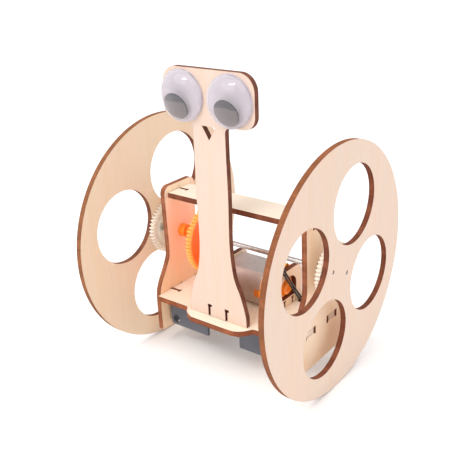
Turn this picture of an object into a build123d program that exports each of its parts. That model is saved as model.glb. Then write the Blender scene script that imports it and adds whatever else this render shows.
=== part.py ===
"""Two-wheel robot car from a laser-cut plywood kit.

Frame: millimetres, origin on the wheel axle midway between the wheels.
The face looks towards -Y (front), +Z is up. "Right" (+X) and "left" (-X) are
those of a viewer who looks the car in the face.
"""
from build123d import *
import os
from math import cos, sin, tan, pi, radians, degrees, sqrt, atan2, acos

os.makedirs("parts", exist_ok=True)

# ------------------------------------------------------- driving dimensions
board = 2.25                # plywood sheet thickness
fit = 0.1                   # clearance of a tab in its slot, each side
slit_w = 1.1                # width of the relief slits beside the tabs
bore_reach = 50.0           # axle bores are cut this far each way

wheel_in = 42.15            # inner face of each wheel from the centre plane
phase_right = -22.6         # angle of the first lightening hole, right wheel
phase_left = -17.7          # the same, left wheel
screw_at, screw_r = 5.65, 0.75      # wheel screws: pitch radius, shank radius
disc_t = 2.0                # toothed disc of a hub gear
disc_in = wheel_in - disc_t
axle_r = 1.0

panel_in = 33.35            # inner face of each side panel
panel_out = panel_in + board
deck_top = -24.7
deck_low = deck_top - board
deck_mid = (deck_top + deck_low) / 2
deck_tab_ys = (-6.4, 10.0)  # deck tabs through each panel
deck_tab_w = 4.5
plate_top = 19.2            # top plate
plate_tab_y0, plate_tab_y1 = -5.0, -1.2
plate_tab_y = (plate_tab_y0 + plate_tab_y1) / 2
plate_tab_w = plate_tab_y1 - plate_tab_y0

neck_y = -19.1              # front face of the neck board
neck_tab = 3.9              # half width of its tab

can_r, can_flat = 10.05, 7.55       # motor can: radius, half height over the flats
can_x0, can_x1 = -10.15, 10.25
bell_x1 = 14.8              # outer face of the motor's end bell
bracket_left = -12.45       # -X face of the left motor bracket
bracket_right = 15.45       # -X face of the right motor bracket
foot_ys, foot_w = (-5.5, 5.5), 4.0  # bracket feet, from the motor axis

gear_module = 0.5
gear_teeth, pinion_teeth, hub_teeth = 58, 14, 44
shift = 0.3                 # profile shift of the pinion, taken off the gear
centre_distance = gear_module * (gear_teeth + pinion_teeth) / 2 + 0.08
motor_z = deck_top + can_flat       # the can lies with its flat on the deck
motor_y = sqrt(centre_distance ** 2 - motor_z ** 2)
mesh_angle = degrees(atan2(motor_z, motor_y))   # from the axle to the motor shaft


# ------------------------------------------------------------------ helpers
def save(builder, name):
    builder.part.label = name
    export_step(builder.part, f"parts/{name}.step")


def yz_plane(x, y, z):
    """Sketch plane facing +X: local x runs along +Y, local y along +Z."""
    return Plane(origin=(x, y, z), x_dir=(0, 1, 0), z_dir=(1, 0, 0))


def motor_plane(x):
    return yz_plane(x, motor_y, motor_z)


def gear_points(teeth, profile_shift, start, flank=5):
    """Involute spur gear outline; one tooth is centred at angle start (degrees)."""
    thinning = 0.03         # taken off the tooth thickness for backlash
    pressure = radians(20)
    pitch_r = gear_module * teeth / 2
    base_r = pitch_r * cos(pressure)
    tip_r = pitch_r + gear_module * (1 + profile_shift)
    root_r = pitch_r - gear_module * (1.25 - profile_shift)
    thickness = (pi * gear_module / 2 + 2 * profile_shift * gear_module * tan(pressure)
                 - thinning)
    base_half = thickness / (2 * pitch_r) + tan(pressure) - pressure

    def half_angle(r):
        if r <= base_r:
            return base_half
        roll = acos(base_r / r)
        return base_half - (tan(roll) - roll)

    first_r = max(base_r, root_r)
    radii = [first_r + (tip_r - first_r) * k / (flank - 1) for k in range(flank)]
    if root_r < base_r:
        radii = [root_r] + radii
    points = []
    for k in range(teeth):
        middle = radians(start) + 2 * pi * k / teeth
        for sign, run in ((-1, radii), (1, radii[::-1])):
            for r in run:
                angle = middle + sign * half_angle(r)
                points.append((r * cos(angle), r * sin(angle)))
    return points


def cut_side_slits(y):
    """T-shaped relief slits at both ends of a plate or deck, crossbar inwards."""
    for side in (1, -1):
        with Locations((side * (panel_in - 2.4), y)):
            Rectangle(4.9, slit_w, mode=Mode.SUBTRACT)
        with Locations((side * (panel_in - 4.5), y)):
            Rectangle(0.8, slit_w + 1.0, mode=Mode.SUBTRACT)


# ------------------------------------------------------------------- wheels
wheel_r = 50.0
lightening_r, lightening_at = 15.6, 26.05   # four holes: radius, pitch radius


def make_wheel(side, phase):
    with BuildPart() as wheel:
        with BuildSketch(Plane.YZ.offset(side * wheel_in)):
            Circle(wheel_r)
            with PolarLocations(lightening_at, 4, phase):
                Circle(lightening_r, mode=Mode.SUBTRACT)
            with PolarLocations(screw_at, 2, phase):
                Circle(screw_r, mode=Mode.SUBTRACT)
        extrude(amount=side * board)
    return wheel


# Gears that carry the wheels: a toothed disc and a long boss towards the panel.
def make_hub(side, phase):
    boss_in, boss_r = panel_out + 0.4, 2.9
    hole_r = 0.85
    ring_outer, ring_inner, ring_depth = 9.4, 7.6, 0.5
    with BuildPart() as hub:
        with BuildSketch(Plane.YZ.offset(side * disc_in)):
            with BuildLine():
                Polyline(*gear_points(hub_teeth, 0.0, start=3.0), close=True)
            make_face()
            with PolarLocations(screw_at, 4, phase):
                Circle(hole_r, mode=Mode.SUBTRACT)
        extrude(amount=side * disc_t)
        with BuildSketch(Plane.YZ.offset(side * boss_in)):
            Circle(boss_r)
        extrude(amount=side * (disc_in - boss_in))
        # shallow ring-shaped recess on the side that faces the panel
        with BuildSketch(Plane.YZ.offset(side * disc_in)):
            Circle(ring_outer)
            Circle(ring_inner, mode=Mode.SUBTRACT)
        extrude(amount=side * ring_depth, mode=Mode.SUBTRACT)
        with BuildSketch(Plane.YZ.offset(-bore_reach)):
            Circle(axle_r)
        extrude(amount=2 * bore_reach, mode=Mode.SUBTRACT)
    return hub


for side, phase, word in ((1, phase_right, "right"), (-1, phase_left, "left")):
    save(make_wheel(side, phase), f"wheel_{word}")
    save(make_hub(side, phase), f"hub_gear_{word}")

# Two pan-head screws per wheel, driven from the gear side into the plywood.
head_r, head_t = 1.5, 1.0
shank_len = disc_t + board - 0.2
cross_len, cross_w, cross_depth = 1.7, 0.4, 0.5

with BuildPart() as wheel_screws:
    for side, phase in ((1, phase_right), (-1, phase_left)):
        with BuildSketch(Plane.YZ.offset(side * disc_in)):
            with PolarLocations(screw_at, 2, phase):
                Circle(head_r)
        extrude(amount=-side * head_t)
        with BuildSketch(Plane.YZ.offset(side * disc_in)):
            with PolarLocations(screw_at, 2, phase):
                Circle(screw_r)
        extrude(amount=side * shank_len)
        # cross recess, square to the frame
        with BuildSketch(Plane.YZ.offset(side * (disc_in - head_t))):
            with PolarLocations(screw_at, 2, phase, rotate=False):
                Rectangle(cross_len, cross_w)
                Rectangle(cross_w, cross_len)
        extrude(amount=side * cross_depth, mode=Mode.SUBTRACT)
save(wheel_screws, "wheel_screws")

# --------------------------------------------------------------------- axle
axle_half = wheel_in - 0.3

with BuildPart() as axle:
    with BuildSketch(Plane.YZ.offset(-axle_half)):
        Circle(axle_r)
    extrude(amount=2 * axle_half)
    chamfer(axle.edges().filter_by(GeomType.CIRCLE), 0.2)
save(axle, "axle")

# Bushes pressed through the side panels; their collars stand inside.
collar_r, collar_t = 2.8, 3.2
bush_r = 2.0


def make_bush(side):
    collar_in = panel_in - collar_t
    with BuildPart() as bush:
        with BuildSketch(Plane.YZ.offset(side * collar_in)):
            Circle(collar_r)
        extrude(amount=side * collar_t)
        with BuildSketch(Plane.YZ.offset(side * panel_in)):
            Circle(bush_r)
        extrude(amount=side * board)
        collar_span = sorted((side * (collar_in - 0.1), side * (collar_in + 0.1)))
        fillet(bush.edges().filter_by(GeomType.CIRCLE)
               .filter_by_position(Axis.X, *collar_span), 0.4)
        with BuildSketch(Plane.YZ.offset(-bore_reach)):
            Circle(axle_r + 0.05)
        extrude(amount=2 * bore_reach, mode=Mode.SUBTRACT)
    return bush


save(make_bush(1), "axle_bush_right")
save(make_bush(-1), "axle_bush_left")

# Drive gear: toothed rim, thinner web with round holes, boss to the left.
gear_x0, gear_x1 = -19.0, -16.8
web_outer, web_inner, web_depth = 12.1, 3.2, 0.7
gear_boss_r, gear_boss_len = 2.4, 5.0
web_hole_r, web_hole_at = 1.6, 7.9

with BuildPart() as drive_gear:
    with BuildSketch(Plane.YZ.offset(gear_x0)):
        with BuildLine():
            Polyline(*gear_points(gear_teeth, -shift, start=mesh_angle), close=True)
        make_face()
    extrude(amount=gear_x1 - gear_x0)
    for face_x, way in ((gear_x0, 1), (gear_x1, -1)):
        with BuildSketch(Plane.YZ.offset(face_x)):
            Circle(web_outer)
            Circle(web_inner, mode=Mode.SUBTRACT)
        extrude(amount=web_depth * way, mode=Mode.SUBTRACT)
    with BuildSketch(Plane.YZ.offset(gear_x0 - gear_boss_len)):
        Circle(gear_boss_r)
    extrude(amount=gear_boss_len)
    with BuildSketch(Plane.YZ.offset(gear_x0)):
        with PolarLocations(web_hole_at, 4, 45):
            Circle(web_hole_r)
    extrude(amount=gear_x1 - gear_x0, mode=Mode.SUBTRACT)
    with BuildSketch(Plane.YZ.offset(-bore_reach)):
        Circle(axle_r)
    extrude(amount=2 * bore_reach, mode=Mode.SUBTRACT)
save(drive_gear, "drive_gear")

# Short tube on the axle that keeps the gear off the left bush.
spacer_x0 = -panel_in + collar_t + 0.15
spacer_r = 1.7

with BuildPart() as axle_spacer:
    with BuildSketch(Plane.YZ.offset(spacer_x0)):
        Circle(spacer_r)
        Circle(axle_r, mode=Mode.SUBTRACT)
    extrude(amount=gear_x0 - gear_boss_len - spacer_x0)
save(axle_spacer, "axle_spacer")

# -------------------------------------------------------------- side panels
panel_front, panel_back = -16.9, 18.0       # edges of the wide lower part
panel_top, panel_foot, foot_round = 22.0, -42.2, 1.0
top_half, top_flat_half = 9.6, 6.4          # half widths below and between the top rounds
top_round, top_round_drop = 3.3, 3.4        # radius and height of those rounds
# curves between the wide lower part and the narrow upper part: y, z
front_flare = [(panel_front, -27.0), (-15.6, -20.6), (-12.4, -15.2), (-9.9, -10.6), (-9.0, -4.5)]
back_flare = [(9.0, -4.5), (9.9, -10.6), (12.8, -15.2), (16.5, -20.6), (panel_back, -27.0)]


def make_panel(side):
    shoulder = panel_top - top_round_drop
    foot_z = panel_foot + foot_round
    relief_at = deck_tab_w / 2 + 1.1
    with BuildPart() as panel:
        with BuildSketch(Plane.YZ.offset(side * panel_in)):
            with BuildLine():
                Line((panel_front, foot_z), front_flare[0])
                Spline(*front_flare, tangents=[(0, 1), (0, 1)])
                Line(front_flare[-1], (-top_half, shoulder))
                RadiusArc((-top_half, shoulder), (-top_flat_half, panel_top), top_round)
                Line((-top_flat_half, panel_top), (top_flat_half, panel_top))
                RadiusArc((top_flat_half, panel_top), (top_half, shoulder), top_round)
                Line((top_half, shoulder), back_flare[0])
                Spline(*back_flare, tangents=[(0, -1), (0, -1)])
                Line(back_flare[-1], (panel_back, foot_z))
                RadiusArc((panel_back, foot_z), (panel_back - foot_round, panel_foot),
                          foot_round)
                Line((panel_back - foot_round, panel_foot),
                     (panel_front + foot_round, panel_foot))
                RadiusArc((panel_front + foot_round, panel_foot), (panel_front, foot_z),
                          foot_round)
            make_face()
            Circle(bush_r, mode=Mode.SUBTRACT)
            # slots for the deck's tabs, with a taller relief at both ends of each
            for tab_y in deck_tab_ys:
                with Locations((tab_y, deck_mid)):
                    Rectangle(deck_tab_w + 3.4, board + 2 * fit, mode=Mode.SUBTRACT)
                with Locations((tab_y - relief_at, deck_mid - 0.3),
                               (tab_y + relief_at, deck_mid - 0.3)):
                    Rectangle(1.2, board + 1.1, mode=Mode.SUBTRACT)
            # slot for the top plate's tab
            with Locations((plate_tab_y, plate_top - board / 2)):
                Rectangle(plate_tab_w + 2 * fit, board + 2 * fit, mode=Mode.SUBTRACT)
        extrude(amount=side * board)
    return panel


save(make_panel(1), "side_panel_right")
save(make_panel(-1), "side_panel_left")

# --------------------------------------------------------------- top plate
plate_front, plate_back = -7.4, 6.4
span_half = panel_in - 0.02     # plate and deck stop just short of the panels

with BuildPart() as top_plate:
    with BuildSketch(Plane.XY.offset(plate_top - board)):
        with Locations((0, (plate_front + plate_back) / 2)):
            Rectangle(2 * span_half, plate_back - plate_front)
        with Locations((0, plate_tab_y)):
            Rectangle(2 * panel_out, plate_tab_w)
        cut_side_slits(plate_tab_y1 + 1.0)
    extrude(amount=board)
save(top_plate, "top_plate")

# -------------------------------------------------------------- lower deck
deck_back = 17.6
deck_side = -18.2       # front edge beside the panels
deck_nose = -24.0       # front edge in the middle
# left step of the front edge: x, y; the right one mirrors it
left_step = [(-18.4, deck_side), (-16.2, -19.1), (-14.7, -21.3),
             (-11.0, deck_nose + 0.3), (-8.0, deck_nose)]
right_step = [(-x, y) for x, y in reversed(left_step)]
lead_hole = (19.9, 13.0)

with BuildPart() as lower_deck:
    with BuildSketch(Plane.XY.offset(deck_low)):
        with BuildLine():
            Line((-span_half, deck_back), (-span_half, deck_side))
            Line((-span_half, deck_side), left_step[0])
            Spline(*left_step, tangents=[(1, 0), (1, 0)])
            Line(left_step[-1], right_step[0])
            Spline(*right_step, tangents=[(1, 0), (1, 0)])
            Line(right_step[-1], (span_half, deck_side))
            Line((span_half, deck_side), (span_half, deck_back))
            Line((span_half, deck_back), (-span_half, deck_back))
        make_face()
        for tab_y in deck_tab_ys:
            with Locations((0, tab_y)):
                Rectangle(2 * panel_out, deck_tab_w)
        # slot for the neck's tab
        with Locations((0, neck_y + board / 2)):
            Rectangle(2 * (neck_tab + fit), board + 2 * fit, mode=Mode.SUBTRACT)
        # slots for the feet of the two motor brackets
        for bracket_x in (bracket_left, bracket_right):
            for foot_y in foot_ys:
                with Locations((bracket_x + board / 2, motor_y + foot_y)):
                    Rectangle(board + 2 * fit, foot_w + 2 * fit, mode=Mode.SUBTRACT)
        # slits along the front edges of the front tabs
        cut_side_slits(deck_tab_ys[0] - deck_tab_w / 2 - slit_w / 2)
        # hole for the two battery leads
        with Locations(lead_hole):
            SlotOverall(5.0, 3.2, 90, mode=Mode.SUBTRACT)
    extrude(amount=board)
save(lower_deck, "lower_deck")

# -------------------------------------------------------------- neck board
head_half, head_low, head_top = 20.7, 55.1, 74.9
chin_r, crown_r = 5.0, 6.5      # lower and upper corners of the head
throat_r, throat_half = 2.4, 9.8    # round between neck and head, half width where it ends
# right edge of the neck, upwards: x, z; the left one mirrors it
right_edge = [(14.2, deck_top), (14.1, -20.6), (13.2, -16.4), (12.1, -12.6), (10.9, -9.4),
              (9.6, -6.6), (8.6, -3.0), (7.75, 3.0), (7.4, 9.0), (7.5, 20.0),
              (7.65, 30.0), (7.45, 42.0), (7.45, head_low - throat_r)]
left_edge = [(-x, z) for x, z in reversed(right_edge)]
nose = [(-3.1, 54.4), (3.1, 54.4), (0, 49.3)]
chin_x, chin_z = head_half - chin_r, head_low + chin_r
crown_x, crown_z = head_half - crown_r, head_top - crown_r

with BuildPart() as neck_board:
    with BuildSketch(Plane.XZ.offset(-neck_y - board)):
        with BuildLine():
            Line(left_edge[-1], right_edge[0])
            Spline(*right_edge, tangents=[(0, 1), (0, 1)])
            RadiusArc(right_edge[-1], (throat_half, head_low), throat_r)
            Line((throat_half, head_low), (chin_x, head_low))
            RadiusArc((chin_x, head_low), (head_half, chin_z), -chin_r)
            Line((head_half, chin_z), (head_half, crown_z))
            RadiusArc((head_half, crown_z), (crown_x, head_top), -crown_r)
            Line((crown_x, head_top), (-crown_x, head_top))
            RadiusArc((-crown_x, head_top), (-head_half, crown_z), -crown_r)
            Line((-head_half, crown_z), (-head_half, chin_z))
            RadiusArc((-head_half, chin_z), (-chin_x, head_low), -chin_r)
            Line((-chin_x, head_low), (-throat_half, head_low))
            RadiusArc((-throat_half, head_low), left_edge[0], throat_r)
            Spline(*left_edge, tangents=[(0, -1), (0, -1)])
        make_face()
        # tab through the deck, with a T-shaped relief slit on each side of it
        with Locations((0, deck_top - board / 2)):
            Rectangle(2 * neck_tab, board)
        for side in (1, -1):
            slit_x = side * (neck_tab + 0.4)
            with Locations((slit_x, deck_top + 2.6)):
                Rectangle(slit_w, 5.4, mode=Mode.SUBTRACT)
            # this crossbar sits 0.3 to +X of its slit on both sides
            with Locations((slit_x + 0.3, deck_top + 4.8)):
                Rectangle(2.0, 1.1, mode=Mode.SUBTRACT)
        # triangular nose opening
        with BuildLine():
            Polyline(*nose, close=True)
        make_face(mode=Mode.SUBTRACT)
    extrude(amount=board)
save(neck_board, "neck_board")


# ------------------------------------------------------------ motor brackets
def make_bracket(x0, windowed):
    """Upright plate across the deck; sketched from the deck top under the motor axis."""
    half, top, corner = 10.2, 16.1, 4.0
    neck_hole_r = 3.15
    slit_y = 2.9
    win_half, win_low, win_top = 5.8, can_flat - 3.8, can_flat + 5.2
    win_cut, win_round = 1.5, 4.2       # lower corner cuts, upper corner radius
    with BuildPart() as bracket:
        with BuildSketch(yz_plane(x0, motor_y, deck_top)):
            with BuildLine():
                Line((-half, 0), (-half, top - corner))
                RadiusArc((-half, top - corner), (corner - half, top), corner)
                Line((corner - half, top), (half - corner, top))
                RadiusArc((half - corner, top), (half, top - corner), corner)
                Line((half, top - corner), (half, 0))
                Line((half, 0), (-half, 0))
            make_face()
            for foot_y in foot_ys:
                with Locations((foot_y, -board / 2)):
                    Rectangle(foot_w, board)
            # T-shaped relief slits beside the inner ends of the feet
            for side in (-1, 1):
                with Locations((side * slit_y, 1.4)):
                    Rectangle(0.7, 2.9, mode=Mode.SUBTRACT)
                with Locations((side * slit_y, 2.7)):
                    Rectangle(1.6, 0.7, mode=Mode.SUBTRACT)
            if windowed:
                # arched window that leaves the end bell in sight
                arch_z, arch_y = win_top - win_round, win_half - win_round
                sill_y, sill_z = win_half - win_cut, win_low + win_cut
                with BuildLine():
                    Line((-sill_y, win_low), (sill_y, win_low))
                    Line((sill_y, win_low), (win_half, sill_z))
                    Line((win_half, sill_z), (win_half, arch_z))
                    RadiusArc((win_half, arch_z), (arch_y, win_top), -win_round)
                    Line((arch_y, win_top), (-arch_y, win_top))
                    RadiusArc((-arch_y, win_top), (-win_half, arch_z), -win_round)
                    Line((-win_half, arch_z), (-win_half, sill_z))
                    Line((-win_half, sill_z), (-sill_y, win_low))
                make_face(mode=Mode.SUBTRACT)
            else:
                with Locations((0, can_flat)):
                    Circle(neck_hole_r, mode=Mode.SUBTRACT)
        extrude(amount=board)
    return bracket


save(make_bracket(bracket_left, windowed=False), "motor_bracket_left")
save(make_bracket(bracket_right, windowed=True), "motor_bracket_right")

# -------------------------------------------------------------------- motor
# Sketches on motor_plane are measured from the motor axis.
shaft_r, shaft_fit = 1.0, 0.03
bearing_r = 2.2
can_wall = 0.55
lug_x0 = can_x1 - 2.8               # lugs of the end bell reach this far into the can
lug_z, lug_h = -0.25, 3.3           # middle and height of their notches
terminal_y, terminal_z = 2.9, 3.2   # terminals: each side of the axis, above it
terminal_w, terminal_t = 2.0, 0.4


def can_profile(radius, flat):
    """Round section with flats above and below."""
    Circle(radius)
    Rectangle(4 * radius, 2 * flat, mode=Mode.INTERSECT)


with BuildPart() as motor_can:
    with BuildSketch(motor_plane(can_x0)):
        can_profile(can_r, can_flat)
    extrude(amount=can_x1 - can_x0)
    fillet(motor_can.faces().sort_by(Axis.X)[0].edges(), 0.6)
    with BuildSketch(motor_plane(can_x0 + 0.6)):
        can_profile(can_r - can_wall, can_flat - can_wall)
    extrude(amount=can_x1 - can_x0, mode=Mode.SUBTRACT)
    # bearing neck
    with BuildSketch(motor_plane(can_x0 - 1.6)):
        Circle(3.05)
    extrude(amount=1.8)
    with BuildSketch(motor_plane(can_x0 - 2)):
        Circle(bearing_r)
    extrude(amount=4, mode=Mode.SUBTRACT)
    # notches in the rim, front and back, for the end bell's lugs
    with BuildSketch(motor_plane(lug_x0)):
        with Locations((-can_r, lug_z), (can_r, lug_z)):
            Rectangle(3.0, lug_h)
    extrude(amount=5, mode=Mode.SUBTRACT)
save(motor_can, "motor_can")

with BuildPart() as motor_bearing:
    with BuildSketch(motor_plane(can_x0 - 1.5)):
        Circle(bearing_r)
        Circle(shaft_r + shaft_fit, mode=Mode.SUBTRACT)
    extrude(amount=2.9)
save(motor_bearing, "motor_bearing")

spigot_len = 1.5        # part of the bell inside the can
bell_boss_len = 2.6

with BuildPart() as motor_end_bell:
    with BuildSketch(motor_plane(can_x1)):
        can_profile(can_r, can_flat)
    extrude(amount=bell_x1 - can_x1)
    chamfer(motor_end_bell.faces().sort_by(Axis.X)[-1].edges(), 0.7)
    with BuildSketch(motor_plane(can_x1 - spigot_len)):
        can_profile(can_r - 0.6, can_flat - 0.6)
    extrude(amount=spigot_len)
    # raised block that stands in the bracket's window, and the round boss on it
    with BuildSketch(motor_plane(bell_x1 - 0.2)):
        with Locations((0, -0.45)):
            RectangleRounded(10.6, 6.0, 1.9)
    extrude(amount=1.7)
    chamfer(motor_end_bell.faces().sort_by(Axis.X)[-1].edges(), 0.35)
    with BuildSketch(motor_plane(bell_x1)):
        Circle(2.6)
    extrude(amount=bell_boss_len)
    fillet(motor_end_bell.faces().sort_by(Axis.X)[-1].edges(), 0.4)
    with BuildSketch(motor_plane(bell_x1 + bell_boss_len)):
        Circle(1.2)
    extrude(amount=-0.6, mode=Mode.SUBTRACT)
    # cavity for commutator and brushes, and the blind bore for the shaft's tail
    with BuildSketch(motor_plane(can_x1 - 2)):
        Circle(6.4)
    extrude(amount=5.4, mode=Mode.SUBTRACT)
    with BuildSketch(motor_plane(can_x1)):
        Circle(shaft_r + shaft_fit)
    extrude(amount=5.4, mode=Mode.SUBTRACT)
    # lugs that sit in the can's notches
    for side in (-1, 1):
        with BuildSketch(motor_plane(lug_x0 + 0.1)):
            Circle(can_r + 0.35)
            Circle(can_r - 0.5, mode=Mode.SUBTRACT)
            with Locations((side * can_r, lug_z)):
                Rectangle(2.8, lug_h - 0.2, mode=Mode.INTERSECT)
        extrude(amount=can_x1 - lug_x0 + 0.4)
    # windows for the two terminals
    with BuildSketch(motor_plane(can_x1 + 3)):
        with Locations((-terminal_y, terminal_z), (terminal_y, terminal_z)):
            Rectangle(terminal_w + 0.1, terminal_t + 0.1)
    extrude(amount=3, mode=Mode.SUBTRACT)
save(motor_end_bell, "motor_end_bell")

# Terminals: a foot through the bell to the brush arm, and a solder tab that stands up.
foot_x0 = can_x1 + 2.95
solder_x0 = bell_x1 + 0.05
solder_low, solder_shoulder, solder_top, solder_cut = 3.0, 9.2, 9.9, 0.6

with BuildPart() as motor_terminals:
    for side in (-1, 1):
        with BuildSketch(motor_plane(foot_x0)):
            with Locations((side * terminal_y, terminal_z)):
                Rectangle(terminal_w, terminal_t)
        extrude(amount=solder_x0 + terminal_t - foot_x0)
        with BuildSketch(motor_plane(solder_x0)):
            with BuildLine():
                edge0 = side * terminal_y - terminal_w / 2
                edge1 = side * terminal_y + terminal_w / 2
                Polyline((edge0, solder_low), (edge1, solder_low), (edge1, solder_shoulder),
                         (edge1 - solder_cut, solder_top), (edge0 + solder_cut, solder_top),
                         (edge0, solder_shoulder), close=True)
            make_face()
        extrude(amount=terminal_t)
save(motor_terminals, "motor_terminals")

with BuildPart() as motor_magnets:
    with BuildSketch(motor_plane(can_x0 + 3.0)):
        Circle(can_r - 0.6)
        Circle(7.0, mode=Mode.SUBTRACT)
        Rectangle(4 * can_r, 11.6, mode=Mode.INTERSECT)
    extrude(amount=13.5)
save(motor_magnets, "motor_magnets")

# Brushes: a short pad against the commutator, and the upright arm behind it.
with BuildPart() as motor_brushes:
    for side in (-1, 1):
        with BuildSketch(motor_plane(can_x1 + 0.6)):
            with Locations((side * 2.65, 0)):
                Rectangle(0.6, 2.2)
            with Locations((side * 3.2, 1.6)):
                Rectangle(0.5, 5.4)
        extrude(amount=2.3)
save(motor_brushes, "motor_brushes")

# Rotor: shaft, three-pole core, three coils, commutator and the pinion.
shaft_x0, shaft_x1 = -20.2, can_x1 + 5.2
core_x0, core_x1 = can_x0 + 4.6, can_x0 + 14.2
core_len = core_x1 - core_x0
coil_at, coil_over = 3.75, 1.3      # radius of the coils' middle, overhang past the core
commutator_x0, commutator_x1 = core_x1 + 1.5, can_x1 + 3.0
pinion_x0, pinion_len = -19.4, 5.8

with BuildPart() as motor_shaft:
    with BuildSketch(motor_plane(shaft_x0)):
        Circle(shaft_r)
    extrude(amount=shaft_x1 - shaft_x0)
    chamfer(motor_shaft.edges().filter_by(GeomType.CIRCLE), 0.2)
save(motor_shaft, "motor_shaft")

with BuildPart() as armature_core:
    with BuildSketch(motor_plane(core_x0)):
        # pole shoes: a ring parted by three gaps
        Circle(6.5)
        Circle(5.3, mode=Mode.SUBTRACT)
        with PolarLocations(5.9, 3, 60):
            Rectangle(3.4, 2.6, mode=Mode.SUBTRACT)
        # middle and the three arms
        Circle(2.6)
        with PolarLocations(3.7, 3):
            Rectangle(3.6, 2.2)
        Circle(shaft_r, mode=Mode.SUBTRACT)
    extrude(amount=core_len)
save(armature_core, "armature_core")

with BuildPart() as armature_windings:
    with BuildSketch(motor_plane(core_x0 - coil_over)):
        with PolarLocations(coil_at, 3):
            Rectangle(1.7, 4.4)
    extrude(amount=core_len + 2 * coil_over)
    # room for the core's arms
    with BuildSketch(motor_plane(core_x0 - 0.05)):
        with PolarLocations(coil_at, 3):
            Rectangle(1.9, 2.3)
    extrude(amount=core_len + 0.1, mode=Mode.SUBTRACT)
save(armature_windings, "armature_windings")

with BuildPart() as commutator:
    with BuildSketch(motor_plane(commutator_x0)):
        Circle(2.25)
        Circle(shaft_r, mode=Mode.SUBTRACT)
    extrude(amount=commutator_x1 - commutator_x0)
save(commutator, "commutator")

# The pinion is turned so that a tooth gap faces the drive gear's tooth.
pinion_start = mesh_angle + 180 + 180 / pinion_teeth

with BuildPart() as motor_pinion:
    with BuildSketch(motor_plane(pinion_x0)):
        with BuildLine():
            Polyline(*gear_points(pinion_teeth, shift, start=pinion_start, flank=6), close=True)
        make_face()
        Circle(shaft_r, mode=Mode.SUBTRACT)
    extrude(amount=pinion_len)
save(motor_pinion, "motor_pinion")

# ---------------------------------------------------------- battery holder
box_x0, box_x1 = -32.2, 19.8
box_mid = (box_x0 + box_x1) / 2
box_y = 12.6            # half depth
tape_t = 0.8
box_top = deck_low - tape_t
box_h = 12.2
box_low = box_top - box_h
roof_t, end_wall, long_wall = 1.2, 1.5, 1.2
inner_x0, inner_x1 = box_x0 + end_wall, box_x1 - end_wall
box_corner = 2.2        # rounded lower corners of the long walls
gap_x0, gap_x1, gap_top = -11.3, 5.4, box_top - 5.2     # low middle of the long walls

with BuildPart() as battery_holder:
    with BuildSketch(Plane.XY.offset(box_top)):
        with Locations((box_mid, 0)):
            RectangleRounded(box_x1 - box_x0, 2 * box_y, 0.8)
    extrude(amount=-box_h)
    # cell trough, open downwards, with a rib between the two cells
    with BuildSketch(Plane.XY.offset(box_top - roof_t)):
        with Locations((box_mid, 0)):
            Rectangle(inner_x1 - inner_x0, 2 * (box_y - long_wall))
    extrude(amount=-20, mode=Mode.SUBTRACT)
    with BuildSketch(Plane.XY.offset(box_top - roof_t)):
        with Locations((box_mid, 0)):
            Rectangle(inner_x1 - inner_x0, 0.7)
    extrude(amount=-3.4)
    # the long walls are cut low in the middle so that the cells can be picked out
    with BuildSketch(Plane.XZ.offset(-30)):
        with BuildLine():
            Polyline((gap_x0, box_low - 1), (gap_x0, gap_top), (gap_x1, gap_top),
                     (gap_x1, box_low - 1), close=True)
        make_face()
    extrude(amount=60, mode=Mode.SUBTRACT)
    with BuildSketch(Plane.XZ.offset(-30)):
        for end_x, way in ((box_x0, 1), (box_x1, -1)):
            reach = box_corner * way
            with BuildLine():
                Line((end_x, box_low), (end_x + reach, box_low))
                RadiusArc((end_x + reach, box_low), (end_x, box_low + box_corner), reach)
                Line((end_x, box_low + box_corner), (end_x, box_low))
            make_face()
    extrude(amount=60, mode=Mode.SUBTRACT)
    # round port in the front wall near the left end, and a wire port in the right end
    with BuildSketch(Plane.XZ.offset(box_y - 2)):
        with Locations((box_x0 + 3.35, box_low + 2.85)):
            Circle(1.9)
    extrude(amount=3, mode=Mode.SUBTRACT)
    with BuildSketch(Plane.YZ.offset(box_x1 - 2)):
        with Locations((7.6, box_top - 4.0)):
            Rectangle(3.2, 2.5)
    extrude(amount=3, mode=Mode.SUBTRACT)
save(battery_holder, "battery_holder")

with BuildPart() as holder_tape:
    with BuildSketch(Plane.XY.offset(box_top)):
        with Locations((box_mid - 3.0, 0)):
            Rectangle(38.0, 15.0)
    extrude(amount=tape_t)
save(holder_tape, "holder_tape")

# Two cells side by side, the front one with its button to +X, the rear one to -X.
cell_r, cell_len, cell_y = 5.15, 43.5, 5.6
cell_z = box_top - roof_t - cell_r - 0.1
cell_offset = 0.2       # each cell lies this far off the middle, away from its button
button_r, button_len = 1.8, 0.9
cell_rows = ((-cell_y, 1), (cell_y, -1))    # y, way the button points


def make_cell(y, way):
    body_x0 = box_mid - cell_len / 2 - cell_offset * way
    button_x0 = body_x0 + (cell_len if way > 0 else -button_len)
    with BuildPart() as cell:
        with BuildSketch(yz_plane(body_x0, y, cell_z)):
            Circle(cell_r)
        extrude(amount=cell_len)
        fillet(cell.edges().filter_by(GeomType.CIRCLE), 0.35)
        with BuildSketch(yz_plane(button_x0, y, cell_z)):
            Circle(button_r)
        extrude(amount=button_len)
    return cell


for (y, way), word in zip(cell_rows, ("front", "rear")):
    save(make_cell(y, way), f"cell_{word}")

# Contacts: a flat plate at both ends of each cell.
contact_gap, contact_t = 0.05, 0.35
contact_face = contact_gap + contact_t      # from the end wall

with BuildPart() as battery_contacts:
    for wall_x, way in ((inner_x0, 1), (inner_x1, -1)):
        with BuildSketch(Plane.YZ.offset(wall_x + contact_gap * way)):
            with Locations((-cell_y, cell_z - 0.4), (cell_y, cell_z - 0.4)):
                Rectangle(7.0, 7.6)
        extrude(amount=contact_t * way)
save(battery_contacts, "battery_contacts")

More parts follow.
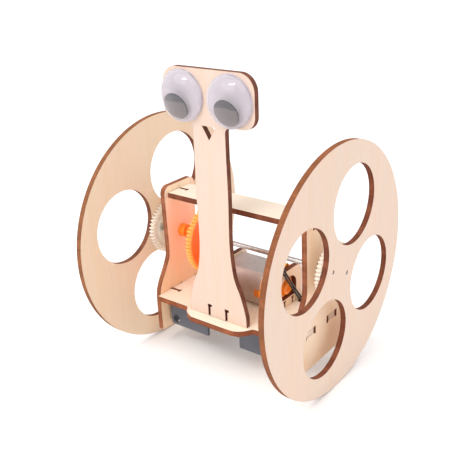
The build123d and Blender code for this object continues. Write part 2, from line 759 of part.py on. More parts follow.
# A coil spring for the flat end of each cell.
spring_gap = (box_mid - cell_len / 2 - cell_offset) - (inner_x0 + contact_face)
spring_len = spring_gap - 0.55
spring_inset = contact_face + 0.25
spring_r, spring_wire_r, spring_turns = 2.3, 0.22, 2.5

with BuildPart() as contact_springs:
    for y, way in cell_rows:
        spring_x = inner_x0 + spring_inset if way > 0 else inner_x1 - spring_inset
        with BuildLine() as coil:
            Helix(pitch=spring_len / spring_turns, height=spring_len, radius=spring_r,
                  center=(spring_x, y, cell_z), direction=(way, 0, 0))
        with BuildSketch(Plane(origin=coil.line @ 0, z_dir=coil.line % 0)):
            Circle(spring_wire_r)
        sweep(path=coil.line, is_frenet=True)
save(contact_springs, "contact_springs")

# -------------------------------------------------------------- motor leads
# Two leads from the terminals, over the bracket's top edge, down across its window
# and through the deck to the battery holder.
lead_r = 0.4
# from each terminal over the bracket: x, y, z
lead_starts = {
    -1: [(14.95, 1.35, -9.0), (14.9, 0.4, -8.6), (15.4, -0.4, -7.95),
         (16.2, -0.7, -7.8), (17.3, -0.3, -7.8), (18.3, 0.7, -8.25)],
    1: [(14.95, 7.15, -9.0), (14.9, 6.2, -8.6), (15.4, 5.2, -7.95),
        (16.2, 4.1, -7.8), (17.3, 3.0, -7.8), (18.35, 2.3, -8.15)],
}
# the run of the pair: x, y, z of its middle, then each lead's offset in y and z
lead_pair = [
    (18.6, 3.2, -10.5, 0.46, 0.33),
    (18.5, 6.05, -14.4, 0.46, 0.33),
    (18.55, 9.84, -19.76, 0.46, 0.33),
    (19.2, 12.4, -23.8, 0.52, 0.2),
    (20.5, 13.0, -27.0, 0.56, 0),
    (21.6, 11.6, -30.0, 0.46, -0.36),
    (21.2, 8.8, -31.75, 0, -0.58),
    (box_x1 - 1.2, 7.7, -31.75, 0, -0.55),
]

with BuildPart() as motor_leads:
    for side, lead_start in lead_starts.items():
        pair_run = [(x, y + dy * side, z + dz * side) for x, y, z, dy, dz in lead_pair]
        with BuildLine() as run:
            Spline(*lead_start, *pair_run)
        with BuildSketch(Plane(origin=run.line @ 0, z_dir=run.line % 0)):
            Circle(lead_r)
        sweep(path=run.line)
save(motor_leads, "motor_leads")

# --------------------------------------------------------------------- eyes
eye_z, eye_r = 64.6, 9.65
eye_back_t = 0.6
back_y = neck_y - eye_back_t        # front face of the backing disc
dome_depth, dome_t, dome_steps = 5.1, 0.45, 10
pupil_r, pupil_t, pupil_lean = 5.2, 0.7, 18.0
pupil_y, pupil_z = back_y - 2.15, eye_z - 3.6


def quarter_points(depth, radius):
    """Half profile of a dome from its rim to its apex: y, z."""
    angles = [pi / 2 * k / dome_steps for k in range(dome_steps + 1)]
    return [(back_y - depth * sin(a), eye_z + radius * cos(a)) for a in angles]


def make_eye_back(eye_x):
    with BuildPart() as back:
        with BuildSketch(Plane.XZ.offset(-neck_y)):
            with Locations((eye_x, eye_z)):
                Circle(eye_r)
        extrude(amount=eye_back_t)
    return back


def make_eye_dome(eye_x):
    outer = quarter_points(dome_depth, eye_r)
    inner = quarter_points(dome_depth - dome_t, eye_r - dome_t)
    with BuildPart() as dome:
        with BuildSketch(Plane.YZ.offset(eye_x)):
            with BuildLine():
                Spline(*outer, tangents=[(-1, 0), (0, -1)])
                Line(outer[-1], inner[-1])
                Spline(*inner, tangents=[(-1, 0), (0, -1)])
                Line(inner[0], outer[0])
            make_face()
        revolve(axis=Axis((eye_x, 0, eye_z), (0, 1, 0)))
    return dome


def make_pupil(pupil_x):
    """Loose disc inside the dome, its face leaning downwards."""
    lean = radians(pupil_lean)
    with BuildPart() as pupil:
        with BuildSketch(Plane(origin=(pupil_x, pupil_y, pupil_z), x_dir=(1, 0, 0),
                               z_dir=(0, -cos(lean), -sin(lean)))):
            Circle(pupil_r)
        extrude(amount=pupil_t / 2, both=True)
        fillet(pupil.edges().filter_by(GeomType.CIRCLE), 0.15)
    return pupil


# name, x of the eye, sideways shift of its pupil
for word, eye_x, pupil_shift in (("right", 10.4, 0.05), ("left", -11.4, -1.2)):
    save(make_eye_back(eye_x), f"eye_back_{word}")
    save(make_eye_dome(eye_x), f"eye_dome_{word}")
    save(make_pupil(eye_x + pupil_shift), f"eye_pupil_{word}")
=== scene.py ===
"""Looks and studio for a small two-wheeled robot: plywood body, geared motor, two cells, domed eyes.

Metres, Z up. The axle runs along X through the origin, and the wheels stand on a floor about
50 mm below it. The geometry is all CAD; this script adds materials, floor, lights and camera.
"""
import math

import bmesh
import bpy
from mathutils import Matrix, Vector


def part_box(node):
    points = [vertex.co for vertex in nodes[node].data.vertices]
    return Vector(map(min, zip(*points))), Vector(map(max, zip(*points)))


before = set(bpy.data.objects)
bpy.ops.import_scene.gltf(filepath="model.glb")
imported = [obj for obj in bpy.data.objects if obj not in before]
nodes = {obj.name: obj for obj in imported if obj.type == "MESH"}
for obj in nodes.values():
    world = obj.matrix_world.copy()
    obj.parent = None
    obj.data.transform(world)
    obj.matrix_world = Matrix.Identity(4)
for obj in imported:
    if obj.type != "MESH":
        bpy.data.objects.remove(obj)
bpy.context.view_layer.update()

scene = bpy.context.scene

AXES = {"X": (1.0, 0.0, 0.0), "Y": (0.0, 1.0, 0.0), "Z": (0.0, 0.0, 1.0)}
FLOOR_Z = -0.0502
FLOOR_HALF = 8.0
PUPIL_TILT = math.radians(18)  # angle of the pupil discs' axis from Y toward Z


# ------------------------------------------------------------------ node graphs
class Graph:
    """Builds one procedural material. Patterns are laid out in object millimetres."""

    def __init__(self, name):
        self.material = bpy.data.materials.new(name)
        self.material.use_nodes = True
        self.tree = self.material.node_tree
        self.tree.nodes.clear()
        self.out = self.node("ShaderNodeOutputMaterial")

    def node(self, kind, **props):
        node = self.tree.nodes.new(kind)
        for key, value in props.items():
            setattr(node, key, value)
        return node

    def put(self, socket, value):
        """Link or set a socket; None leaves it alone."""
        if value is None:
            return
        if isinstance(value, bpy.types.NodeSocket):
            self.tree.links.new(value, socket)
        elif socket.type == "RGBA":
            socket.default_value = (*value[:3], 1.0)
        else:
            socket.default_value = value

    def math(self, operation, first, second=None, clamp=False):
        node = self.node("ShaderNodeMath", operation=operation, use_clamp=clamp)
        self.put(node.inputs[0], first)
        self.put(node.inputs[1], second)
        return node.outputs[0]

    def times(self, first, second, clamp=False):
        return self.math("MULTIPLY", first, second, clamp)

    def vec(self, operation, first, second):
        node = self.node("ShaderNodeVectorMath", operation=operation)
        self.put(node.inputs[0], first)
        self.put(node.inputs[1], second)
        return node.outputs[1 if operation == "DOT_PRODUCT" else 0]

    def span(self, value, between, to=(0.0, 1.0)):
        """Smooth step from to[0] to to[1] as value goes across between."""
        node = self.node("ShaderNodeMapRange", clamp=True, interpolation_type="SMOOTHSTEP")
        for i, setting in enumerate((value, *between, *to)):
            self.put(node.inputs[i], setting)
        return node.outputs[0]

    def mix(self, factor, first, second, amount=None, blend="MIX"):
        """Go from first to second by factor, scaled by amount if given."""
        if amount is not None:
            factor = self.times(factor, amount)
        node = self.node("ShaderNodeMix", data_type="RGBA", blend_type=blend)
        node.clamp_factor = True
        self.put(node.inputs[0], factor)
        self.put(node.inputs[6], first)
        self.put(node.inputs[7], second)
        return node.outputs[2]

    def mix_shader(self, factor, first, second):
        node = self.node("ShaderNodeMixShader")
        for i, value in enumerate((factor, first, second)):
            self.put(node.inputs[i], value)
        return node.outputs[0]

    def place(self, stretch=(1, 1, 1), shift=(0, 0, 0)):
        """Object coordinates in millimetres, stretched and shifted."""
        coords = self.node("ShaderNodeTexCoord").outputs["Object"]
        return self.vec("ADD", self.vec("MULTIPLY", coords, tuple(1000 * s for s in stretch)), shift)

    def noise(self, stretch, shift=(0, 0, 0), detail=2.0, roughness=0.5, warp=0.0):
        """Noise at stretch features per millimetre: one number, or one per axis."""
        if not isinstance(stretch, tuple):
            stretch = (stretch,) * 3
        vector = self.place(stretch, shift)
        node = self.node("ShaderNodeTexNoise", noise_dimensions="3D")
        self.put(node.inputs["Vector"], vector)
        node.inputs["Scale"].default_value = 1.0
        node.inputs["Detail"].default_value = detail
        node.inputs["Roughness"].default_value = roughness
        node.inputs["Distortion"].default_value = warp
        return node.outputs["Fac"]

    def xyz(self, vector=None):
        """The three parts of a vector, by default of the object position in millimetres."""
        vector = vector or self.place()
        node = self.node("ShaderNodeSeparateXYZ")
        self.put(node.inputs[0], vector)
        return node.outputs

    def radius(self, y, z):
        return self.math("SQRT", self.math("ADD", self.times(y, y), self.times(z, z)))

    def object_normal(self, geometry):
        """The flat face normal, in object space."""
        node = self.node("ShaderNodeVectorTransform", vector_type="NORMAL",
                         convert_from="WORLD", convert_to="OBJECT")
        self.put(node.inputs[0], geometry.outputs["True Normal"])
        return node.outputs[0]

    def bevel(self, radius, samples):
        node = self.node("ShaderNodeBevel", samples=samples)
        node.inputs["Radius"].default_value = radius
        return node.outputs[0]

    def near_edge(self, bevel, geometry, gain):
        """0 on flat ground, rising at edges, where the bevelled normal leaves the flat one."""
        alike = self.vec("DOT_PRODUCT", bevel, geometry.outputs["True Normal"])
        return self.times(self.math("SUBTRACT", 1.0, alike), gain, clamp=True)

    def bump(self, height, strength, distance, normal=None):
        node = self.node("ShaderNodeBump")
        node.inputs["Strength"].default_value = strength
        node.inputs["Distance"].default_value = distance
        self.put(node.inputs["Height"], height)
        self.put(node.inputs["Normal"], normal)
        return node.outputs[0]

    def surface(self, **inputs):
        """Finish with a Principled shader; underscores in input names stand for spaces."""
        node = self.node("ShaderNodeBsdfPrincipled")
        for key, value in inputs.items():
            self.put(node.inputs[key.replace("_", " ")], value)
        self.put(self.out.inputs["Surface"], node.outputs[0])
        return self.material


def paint(material, *names):
    for name in names:
        part = nodes[name]
        if not part.data.materials:
            part.data.materials.append(None)
        for slot in part.material_slots:
            slot.link = "OBJECT"
            slot.material = material


def srgb(*levels):
    """Linear colour from 0-255 sRGB levels."""
    return tuple(c / 12.92 if c <= 0.04045 else ((c + 0.055) / 1.055) ** 2.4
                 for c in (level / 255 for level in levels))


def tinted(colour, gains, lift=0.0):
    """Colour times one gain or one per channel, plus lift, held at or below 1."""
    if isinstance(gains, float):
        gains = (gains,) * 3
    return tuple(min(1, c * gain + lift) for c, gain in zip(colour, gains))


def stretches(rest, by_axis):
    return tuple(by_axis.get(axis, rest) for axis in "XYZ")


# ------------------------------------------------------------------------ wood
def veneer(mat, sheet, grain, seed, face):
    """Pale face veneer. Returns its colour and the two finest fibre patterns."""
    def fibres(along, across, offset, **noise):
        shift = (seed * 7.3 + offset, seed * 3.1 + offset * 2, seed * 5.7 - offset)
        return mat.noise(stretches(across, {grain: along, sheet: 0.15}), shift, **noise)

    cloud = fibres(along=0.018, across=0.05, offset=0.0, warp=0.6)
    bands = fibres(along=0.012, across=0.33, offset=11.0, detail=3.0, roughness=0.55, warp=0.8)
    thread = fibres(along=0.05, across=2.6, offset=23.0, detail=3.0, roughness=0.6, warp=0.2)
    fleck = fibres(along=0.55, across=4.5, offset=37.0, detail=1.0)

    base = srgb(*face)
    pink = tinted(base, (1.03, 0.99, 0.99))
    warm = tinted(base, (1.02, 0.955, 0.86))
    tan = tinted(base, (0.86, 0.77, 0.66))
    brown = tinted(base, (0.66, 0.52, 0.40))
    colour = mat.mix(mat.span(cloud, between=(0.34, 0.66)), base, pink)
    colour = mat.mix(mat.span(bands, between=(0.42, 0.68)), colour, warm, amount=0.55)
    colour = mat.mix(mat.span(thread, between=(0.46, 0.72)), colour, tan, amount=0.26)
    colour = mat.mix(mat.span(fleck, between=(0.70, 0.80)), colour, brown, amount=0.45)
    return colour, thread, fleck


def scorch(mat, colour, geometry, seed):
    """The laser leaves a thin brown line beside each cut, and a fainter wider halo."""
    smoke = mat.noise(0.35, shift=(seed, 0, 0))

    def mark(radius, gain, between, to):
        edge = mat.near_edge(mat.bevel(radius, samples=6), geometry, gain)
        return mat.times(edge, mat.span(smoke, between, to))

    halo = mark(radius=0.0009, gain=3.0, between=(0.3, 0.7), to=(0.10, 0.34))
    line = mark(radius=0.00030, gain=4.2, between=(0.25, 0.75), to=(0.35, 0.85))
    colour = mat.mix(halo, colour, srgb(206, 158, 112), amount=1.0)
    return mat.mix(line, colour, srgb(150, 96, 62), amount=1.0)


def cut_edge(mat, node, sheet, seed, edge, rim, core_gain, ends):
    """Three plies, thin char at both arrises, fine laser stripes across the thickness.
    Returns the colour and the stripes."""
    low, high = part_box(node)
    k = "XYZ".index(sheet)
    depth = mat.math("SUBTRACT", mat.xyz()[k], low[k] * 1000)
    depth = mat.math("DIVIDE", depth, (high[k] - low[k]) * 1000)
    # 0 at mid thickness, 0.5 at either face
    off_middle = mat.math("ABSOLUTE", mat.math("SUBTRACT", depth, 0.5))
    stripe = mat.noise(stretches(3.2, {sheet: 0.12}), shift=(seed * 2.0, 4.0, 9.0),
                       detail=3.0, roughness=0.6)
    patch = mat.noise(stretches(0.22, {sheet: 0.1}), shift=(seed * 5.0, 1.0, 3.0))

    burnt = srgb(*edge)
    light = tinted(burnt, (1.55, 1.75, 1.8))
    dark = tinted(burnt, 0.42)
    if rim:
        # the outer rim of a wheel is paler than its cut-outs
        place = mat.xyz()
        radius = mat.radius(place[1], place[2])
        rim_start = (47.0, 49.5)
        pale_rim = srgb(*rim)
        burnt = mat.mix(mat.span(radius, between=rim_start), burnt, pale_rim)
        light = mat.mix(mat.span(radius, between=rim_start), light, tinted(pale_rim, 1.35))

    colour = mat.mix(mat.span(patch, between=(0.38, 0.66)), burnt, light)
    core = mat.times(mat.span(off_middle, between=(0.20, 0.13)),
                     mat.span(stripe, between=(0.35, 0.7), to=(0.25, 0.75)))
    colour = mat.mix(core, colour, light, amount=core_gain)
    # glue lines between the plies, then char at the arrises, then stripes
    from_glue = mat.math("ABSOLUTE", mat.math("SUBTRACT", off_middle, 0.185))
    colour = mat.mix(mat.span(from_glue, between=(0.05, 0.015)), colour, dark, amount=0.45)
    colour = mat.mix(mat.span(off_middle, between=(0.43, 0.49)), colour, dark, amount=0.65)
    colour = mat.mix(mat.span(stripe, between=(0.5, 0.72)), colour, dark, amount=0.45)
    if ends:
        # the ends of the tabs are painted pale: a painted glint on their charred ends
        painted_tab_glint = mat.span(mat.math("ABSOLUTE", mat.xyz()[0]), between=(ends, ends + 0.3))
        colour = mat.mix(painted_tab_glint, colour, srgb(244, 226, 206), amount=0.8)
    return colour, stripe


def painted_gear_bounce(mat, colour, normal, sheet, amount, tint):
    """Painted orange bounce light from the gear on the face on the positive side of the sheet,
    stronger lower down and nearer the gear.
    """
    side = mat.vec("DOT_PRODUCT", normal, AXES[sheet])
    place = mat.xyz()
    down = mat.span(place[2], between=(14.0, -16.0), to=(0.25, 1.0))
    from_gear = mat.math("ABSOLUTE", mat.math("ADD", place[1], 2.0))
    near = mat.span(from_gear, between=(26.0, 6.0), to=(0.45, 1.0))
    strength = mat.times(mat.times(mat.span(side, between=(0.6, 0.8)), amount),
                         mat.times(down, near))
    return mat.mix(strength, colour, mat.mix(1.0, colour, tint, blend="MULTIPLY"))


def plywood(node, sheet, grain, seed, face, edge, rim=None, core_gain=0.55, ends=None, painted_glow=None):
    """Laser-cut plywood: pale veneer on the two faces, scorched plies on every cut edge.
    sheet is the axis across the thickness, grain the axis the veneer's fibres follow,
    ends the distance in X (mm) where the painted glint on the tab ends begins."""
    mat = Graph("plywood_" + node)
    geometry = mat.node("ShaderNodeNewGeometry")
    normal = mat.object_normal(geometry)
    facing = mat.math("ABSOLUTE", mat.vec("DOT_PRODUCT", normal, AXES[sheet]))
    is_face = mat.span(facing, between=(0.6, 0.8))

    face_colour, thread, fleck = veneer(mat, sheet, grain, seed, face)
    face_colour = scorch(mat, face_colour, geometry, seed)
    edge_colour, stripe = cut_edge(mat, node, sheet, seed, edge, rim, core_gain, ends)
    if painted_glow:
        # painted light: orange bounce from the gear painted onto the face
        face_colour = painted_gear_bounce(mat, face_colour, normal, sheet, **painted_glow)

    colour = mat.mix(is_face, edge_colour, face_colour)
    # faces are smoother than cut edges
    rough = mat.math("ADD", mat.times(is_face, -0.22),
                     mat.span(thread, between=(0.3, 0.7), to=(0.76, 0.9)))
    face_height = mat.math("ADD", mat.times(thread, 0.6), mat.times(fleck, 0.4))
    height = mat.mix(is_face, stripe, face_height)
    return mat.surface(Base_Color=colour, Roughness=rough, Specular_IOR_Level=0.25,
                       Normal=mat.bump(height, strength=0.35, distance=0.00008))


# Face and edge tones per part are partly the sheets' own tone and partly painted light: each part's
# tones were set lighter or darker to make up for how light falls on it, so these are lit and shaded
# copies of one plywood.
SHEETS = {
    "wheel_right": dict(sheet="X", grain="Z", seed=1.0, face=(225, 204, 188),
                        edge=(112, 60, 40), rim=(132, 80, 50)),
    "wheel_left": dict(sheet="X", grain="Z", seed=2.7, face=(232, 210, 185),
                       edge=(112, 64, 44), rim=(132, 84, 54)),
    "side_panel_right": dict(sheet="X", grain="Z", seed=4.1, face=(250, 226, 200),
                             edge=(128, 72, 48), core_gain=0.8),
    "side_panel_left": dict(sheet="X", grain="Z", seed=5.9, face=(252, 232, 208),
                            edge=(136, 80, 54), core_gain=0.8,
                            painted_glow=dict(amount=0.62, tint=(1.0, 0.74, 0.52))),
    "top_plate": dict(sheet="Z", grain="X", seed=7.2, face=(234, 222, 206), edge=(112, 60, 40)),
    "lower_deck": dict(sheet="Z", grain="X", seed=8.6, face=(239, 227, 209),
                       edge=(132, 72, 46), ends=35.2),
    "neck_board": dict(sheet="Y", grain="Z", seed=10.3, face=(219, 198, 183), edge=(106, 62, 48)),
    "motor_bracket_left": dict(sheet="X", grain="Z", seed=12.8, face=(240, 218, 196),
                               edge=(90, 56, 42)),
    "motor_bracket_right": dict(sheet="X", grain="Z", seed=14.4, face=(246, 220, 196),
                                edge=(108, 60, 42)),
}
for node_name, settings in SHEETS.items():
    paint(plywood(node_name, **settings), node_name)


# -------------------------------------------------------------------- plastics
def orange(name, rim=None, base=(255, 104, 26), painted_glow=0.0, shade_x=None):
    """Slightly see-through plastic. From rim[0] to rim[1] mm off the axle it is painted paler,
    painted light shining through the thin teeth; below shade_x mm it is painted darker, a painted
    shade."""
    mat = Graph(name)
    place = mat.xyz()
    flow = mat.noise(0.11, warp=0.5)
    grain = mat.noise(9, roughness=0.6)
    colour = mat.mix(mat.span(flow, between=(0.35, 0.65)), srgb(*base),
                     tinted(srgb(*base), (1.0, 1.14, 1.2)))
    if rim:
        centre_y, centre_z = 0, 0
        radius = mat.radius(mat.math("SUBTRACT", place[1], centre_y),
                            mat.math("SUBTRACT", place[2], centre_z))
        # painted light: paler toward the gear's rim, where light shines through the thin teeth
        colour = mat.mix(mat.span(radius, between=rim), colour, srgb(255, 168, 84))
    if shade_x:
        # painted shade: the plastic is painted darker below shade_x mm, where it lies in shadow
        shade = mat.span(place[0], between=(shade_x, shade_x - 0.1))
        colour = mat.mix(shade, colour, srgb(196, 104, 34))
    # painted_glow is painted light: an emission that makes the plastic glow though it is no lamp
    return mat.surface(
        Base_Color=colour, Roughness=mat.span(grain, between=(0.3, 0.7), to=(0.30, 0.42)),
        Subsurface_Weight=0.35, Subsurface_Radius=(1.0, 0.35, 0.1), Subsurface_Scale=0.0012,
        Emission_Color=colour, Emission_Strength=painted_glow,
        Normal=mat.bump(grain, strength=0.12, distance=0.00003), Specular_IOR_Level=0.5)


def nylon(name):
    mat = Graph(name)
    flow = mat.noise(0.16, warp=0.4)
    grain = mat.noise(8, roughness=0.6)
    base = srgb(232, 220, 210)
    colour = mat.mix(mat.span(flow, between=(0.35, 0.65)), base,
                     tinted(base, (0.97, 0.955, 0.90)))
    # The faint emission is painted light that lifts the shaded hubs.
    return mat.surface(
        Base_Color=colour, Roughness=mat.span(grain, between=(0.3, 0.7), to=(0.34, 0.48)),
        Subsurface_Weight=0.5, Subsurface_Radius=(1.0, 0.9, 0.75), Subsurface_Scale=0.0012,
        Emission_Color=colour, Emission_Strength=0.06,
        Normal=mat.bump(grain, strength=0.12, distance=0.00003))


def moulded(name, tint, rough=(0.42, 0.58), grain_scale=7.0, bump=0.3):
    """Opaque matter with a fine surface grain and slightly rounded corners, painted paler as a
    painted edge highlight.
    """
    mat = Graph(name)
    grain = mat.noise(grain_scale, detail=3.0, roughness=0.65)
    flow = mat.noise(0.12)
    geometry = mat.node("ShaderNodeNewGeometry")
    rounded = mat.bevel(0.0003, samples=4)
    painted_edge_highlight = mat.near_edge(rounded, geometry, gain=3.0)
    base = srgb(*tint)
    colour = mat.mix(mat.span(flow, between=(0.35, 0.65)), base, tinted(base, 1.18))
    # painted highlight: the corners are painted paler
    colour = mat.mix(painted_edge_highlight, colour, tinted(base, 1.9, lift=0.01), amount=0.35)
    return mat.surface(Base_Color=colour, Roughness=mat.span(grain, between=(0.3, 0.7), to=rough),
                       Normal=mat.bump(grain, bump, distance=0.00004, normal=rounded))


# painted light: the gear glows, standing in for light passing through it and lifting its shade
paint(orange("orange_gear", rim=(13.1, 14.0), painted_glow=0.26), "drive_gear")
paint(orange("orange_bush", base=(250, 138, 40)),
      "axle_bush_left", "axle_bush_right", "axle_spacer")
# painted light: the bell's paler base tone and its glow lift it out of the shade it sits in
paint(orange("orange_bell", base=(244, 142, 52), painted_glow=0.12, shade_x=10.0), "motor_end_bell")
paint(nylon("white_nylon"), "hub_gear_left", "hub_gear_right", "motor_pinion")
paint(moulded("grey_plastic", (82, 84, 92)), "battery_holder")


# ---------------------------------------------------------------------- metals
def metal(name, tint, rough=(0.22, 0.36), stretch=(0.2, 3.0, 3.0), blotch=0.12, bump=0.15,
          crease=None):
    """Metal with drawn lines and darker blotches; crease is the radius of its rounded bends, which
    get a painted highlight line.
    """
    mat = Graph(name)
    lines = mat.noise(stretch, detail=3.0, roughness=0.6)
    cloud = mat.noise(0.35, detail=3.0, roughness=0.6, warp=0.5)
    base = srgb(*tint)
    colour = mat.mix(mat.span(cloud, between=(0.35, 0.7)), base,
                     tinted(base, 1 - 2.2 * blotch), amount=blotch * 4)
    rounded = None
    if crease:
        # rounded-over bends get a painted highlight: a thin near-white line in the colour
        rounded = mat.bevel(crease, samples=6)
        line = mat.near_edge(rounded, mat.node("ShaderNodeNewGeometry"), gain=14.0)
        colour = mat.mix(line, colour, srgb(250, 248, 246))
    wear = mat.math("ADD", mat.times(lines, 0.6), mat.times(cloud, 0.4))
    return mat.surface(Base_Color=colour, Metallic=1.0,
                       Roughness=mat.span(wear, between=(0.3, 0.7), to=rough),
                       Normal=mat.bump(lines, bump, distance=0.00002, normal=rounded))


paint(metal("bright_steel", (206, 204, 204)),
      "axle", "motor_shaft", "wheel_screws", "battery_contacts", "contact_springs")
paint(metal("motor_can_steel", (200, 190, 184), rough=(0.44, 0.60), stretch=(0.5, 1.6, 1.6),
            blotch=0.09, bump=0.25, crease=0.00045), "motor_can")
paint(metal("core_iron", (96, 94, 94), rough=(0.4, 0.6), stretch=(4.0, 0.6, 0.6)),
      "armature_core")
paint(metal("brass_strip", (255, 200, 84), rough=(0.24, 0.4)), "motor_brushes", "motor_terminals")
paint(metal("bronze", (170, 124, 74), rough=(0.4, 0.6), stretch=(3, 3, 3)), "motor_bearing")
paint(metal("copper", (200, 112, 66), rough=(0.2, 0.34), stretch=(0.2, 6, 6)),
      "armature_windings", "commutator")

# ------------------------------------------------------- magnets, tape and wire
paint(moulded("ferrite", (58, 58, 62), rough=(0.6, 0.8), grain_scale=4.0), "motor_magnets")
paint(moulded("foam_tape", (214, 212, 204), rough=(0.8, 0.95), grain_scale=2.2, bump=0.6),
      "holder_tape")
paint(moulded("black_wire", (26, 25, 26), rough=(0.3, 0.42), grain_scale=3.0, bump=0.15),
      "motor_leads")


# ----------------------------------------------------------------------- cells
def cell_jacket(name, node, plus):
    """Battery sleeve: dark body, a copper band at the positive end, bare steel ends.
    plus is the sign of the X direction the positive end points in."""
    mat = Graph(name)
    low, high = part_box(node)
    start, end = low.x * 1000, high.x * 1000
    x = mat.xyz()[0]
    from_plus = mat.math("SUBTRACT", x, start) if plus < 0 else mat.math("SUBTRACT", end, x)
    band = mat.span(from_plus, between=(13.9, 13.6))
    plus_end = mat.span(from_plus, between=(1.35, 1.2))
    minus_end = mat.span(from_plus, between=(end - start - 0.5, end - start - 0.35))
    wave = mat.noise((0.3, 1.2, 1.2), detail=3.0)
    colour = mat.mix(mat.span(wave, between=(0.3, 0.7)), srgb(46, 36, 34), srgb(58, 44, 40))
    colour = mat.mix(band, colour, srgb(206, 134, 74))
    ends = mat.math("MAXIMUM", plus_end, minus_end)
    colour = mat.mix(ends, colour, srgb(190, 188, 186))
    return mat.surface(Base_Color=colour,
                       Metallic=mat.math("MAXIMUM", ends, mat.times(band, 0.6)),
                       Roughness=mat.span(wave, between=(0.3, 0.7), to=(0.26, 0.36)))


paint(cell_jacket("cell_jacket_front", "cell_front", plus=1), "cell_front")
paint(cell_jacket("cell_jacket_rear", "cell_rear", plus=-1), "cell_rear")


# ------------------------------------------------------------------------ eyes
def eye_white():
    mat = Graph("eye_white")
    cloud = mat.noise(0.12)
    grain = mat.noise(6, roughness=0.6)
    colour = mat.mix(mat.span(cloud, between=(0.35, 0.65)),
                     srgb(198, 190, 196), srgb(193, 185, 192))
    # The emission is painted light: a glow that lifts the shade the pupils and domes cast on the eye
    # white.
    return mat.surface(Base_Color=colour, Emission_Color=colour, Emission_Strength=0.10,
                       Roughness=mat.span(grain, between=(0.3, 0.7), to=(0.5, 0.62)),
                       Normal=mat.bump(grain, strength=0.1, distance=0.00002))


def eye_dome():
    """Clear plastic that turns milky and glossy toward its rim."""
    mat = Graph("clear_plastic")
    # Facing is 0 where the dome is seen square on and rises to 1 at its rim
    weight = mat.node("ShaderNodeLayerWeight")
    weight.inputs["Blend"].default_value = 0.5
    rim = weight.outputs["Facing"]

    def toward_rim(power, gain, floor):
        return mat.math("ADD", mat.times(mat.math("POWER", rim, power), gain), floor)

    haze = mat.noise(0.5)
    clear = mat.node("ShaderNodeBsdfTransparent")
    mat.put(clear.inputs[0], (0.975, 0.968, 0.975))
    milk = mat.node("ShaderNodeBsdfDiffuse")
    mat.put(milk.inputs[0], (0.90, 0.875, 0.905))
    gloss = mat.node("ShaderNodeBsdfGlossy")
    mat.put(gloss.inputs["Roughness"], mat.span(haze, between=(0.3, 0.7), to=(0.04, 0.09)))
    body = mat.mix_shader(toward_rim(power=3.0, gain=0.60, floor=0.035),
                          clear.outputs[0], milk.outputs[0])
    shell = mat.mix_shader(toward_rim(power=5.0, gain=0.25, floor=0.03), body, gloss.outputs[0])
    mat.put(mat.out.inputs["Surface"], shell)
    return mat.material


def eye_pupil():
    """Black disc with a painted reflection: grey where it would mirror the pale table, dark where it
    would mirror the room.
    """
    mat = Graph("eye_black")
    haze = mat.noise(0.6)
    speck = mat.noise(9, detail=1.0)
    geometry = mat.node("ShaderNodeNewGeometry")
    height = mat.times(mat.xyz(geometry.outputs["Position"])[2], 1000.0)
    low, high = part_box("eye_back_left")
    middle = (low.z + high.z) * 500.0  # mean of the two heights, in mm
    # the painted reflection's grey-to-dark boundary lies just below mid eye and wavers a little
    waver = mat.times(mat.span(mat.noise(0.12, detail=1.0), between=(0.3, 0.7)), 0.5)
    painted_room_reflection = mat.span(mat.math("ADD", height, waver), between=(middle - 1.75, middle - 1.30))
    grey = mat.mix(mat.span(haze, between=(0.3, 0.7)), srgb(98, 88, 88), srgb(108, 98, 96))
    dark = mat.mix(mat.span(haze, between=(0.3, 0.7)), srgb(22, 25, 30), srgb(34, 38, 44))
    axis = (0.0, math.cos(PUPIL_TILT), math.sin(PUPIL_TILT))
    flat = mat.math("ABSOLUTE", mat.vec("DOT_PRODUCT", mat.object_normal(geometry), axis))
    colour = mat.mix(painted_room_reflection, grey, dark)
    # the disc's edge stays black
    colour = mat.mix(mat.span(flat, between=(0.90, 0.98)), srgb(24, 22, 26), colour)
    return mat.surface(Base_Color=colour, Specular_IOR_Level=0.35,
                       Roughness=mat.span(haze, between=(0.3, 0.7), to=(0.30, 0.42)),
                       Normal=mat.bump(speck, strength=0.06, distance=0.00002))


paint(eye_white(), "eye_back_left", "eye_back_right")
paint(eye_dome(), "eye_dome_left", "eye_dome_right")
paint(eye_pupil(), "eye_pupil_left", "eye_pupil_right")


# ----------------------------------------------------------------------- stage
def link(name, data):
    thing = bpy.data.objects.new(name, data)
    scene.collection.objects.link(thing)
    return thing


def make_floor():
    grid = bmesh.new()
    bmesh.ops.create_grid(grid, x_segments=8, y_segments=8, size=FLOOR_HALF)
    mesh = bpy.data.meshes.new("floor")
    grid.to_mesh(mesh)
    grid.free()
    floor = link("floor", mesh)
    floor.location = (0, 0, FLOOR_Z)
    mat = Graph("pale_floor")
    colour = mat.mix(mat.noise(0.01), (0.89, 0.88, 0.88), (0.90, 0.895, 0.895))
    mesh.materials.append(mat.surface(
        Base_Color=colour, Roughness=0.9, Specular_IOR_Level=0.0,
        Emission_Color=(1.0, 0.985, 0.985), Emission_Strength=0.12))
    return floor


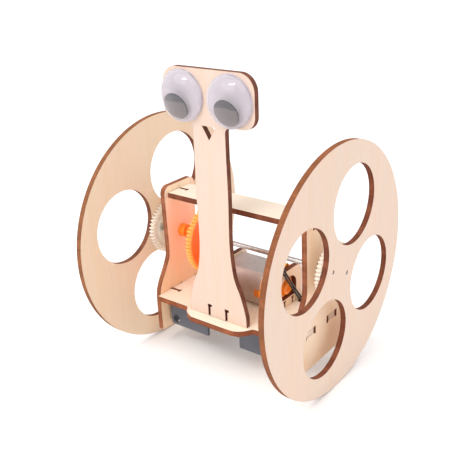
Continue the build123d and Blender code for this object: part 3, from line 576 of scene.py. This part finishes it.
def make_world():
    """White to the camera, a soft grey surround to reflections and to all other rays."""
    world = bpy.data.worlds.new("studio")
    scene.world = world
    world.use_nodes = True
    tree = world.node_tree
    tree.nodes.clear()
    output = tree.nodes.new("ShaderNodeOutputWorld")
    path = tree.nodes.new("ShaderNodeLightPath")

    def background(colour, strength):
        node = tree.nodes.new("ShaderNodeBackground")
        node.inputs[0].default_value = (*colour, 1)
        node.inputs[1].default_value = strength
        return node

    def switch(ray, otherwise, chosen):
        node = tree.nodes.new("ShaderNodeMixShader")
        tree.links.new(path.outputs[ray], node.inputs[0])
        tree.links.new(otherwise.outputs[0], node.inputs[1])
        tree.links.new(chosen.outputs[0], node.inputs[2])
        return node

    seen = background((1, 1, 1), strength=1.05)
    ambient = background((1.0, 0.985, 0.98), strength=0.84)
    mirrored = background((0.97, 0.98, 1.0), strength=0.80)
    lighting = switch("Is Glossy Ray", ambient, mirrored)
    final = switch("Is Camera Ray", lighting, seen)
    tree.links.new(final.outputs[0], output.inputs[0])


def aim(light, toward, place):
    light.location = place
    light.rotation_euler = Vector(toward).to_track_quat("-Z", "Y").to_euler()


def sun(name, come_from, strength, degrees, tint):
    data = bpy.data.lights.new(name, "SUN")
    data.energy = strength
    data.angle = math.radians(degrees)
    data.color = tint
    aim(link(name, data), -Vector(come_from), Vector(come_from))


def strip(name, place, target, size, power, roll):
    """A window-like rectangle that draws a highlight on the shiny domes."""
    data = bpy.data.lights.new(name, "AREA")
    data.shape = "RECTANGLE"
    data.size, data.size_y = size
    data.energy = power
    light = link(name, data)
    aim(light, Vector(target) - Vector(place), place)
    turn = Matrix.Rotation(math.radians(roll), 3, "Z")
    light.rotation_euler = (light.rotation_euler.to_matrix() @ turn).to_euler()


def make_camera():
    data = bpy.data.cameras.new("camera")
    camera = link("camera", data)
    data.lens = 54.63
    data.sensor_width = 36.0
    data.clip_start = 0.01
    right = Vector((0.8016146, 0.596909, -0.033373))
    up = Vector((-0.2140018, 0.338620, 0.916264))
    back = Vector((0.5582269, -0.727349, 0.399183))
    pose = Matrix((right, up, back)).transposed().to_4x4()
    pose.translation = Vector((0.160893, -0.214295, 0.120880))
    camera.matrix_world = pose
    scene.camera = camera


make_floor()
make_world()
sun("key", come_from=(-0.30, -0.65, 0.695), strength=0.80, degrees=50, tint=(1.0, 0.995, 0.98))
sun("fill", come_from=(0.35, -0.1, 0.93), strength=0.80, degrees=60, tint=(1.0, 0.99, 0.98))
strip("window", place=(-0.10, -0.62, 0.78), target=(0, -0.02, 0.065), size=(0.42, 0.07),
      power=2.4, roll=40)
make_camera()

scene.view_settings.view_transform = "Standard"
scene.view_settings.look = "None"
scene.view_settings.exposure = 0.0
scene.view_settings.gamma = 1.0

bpy.context.view_layer.update()
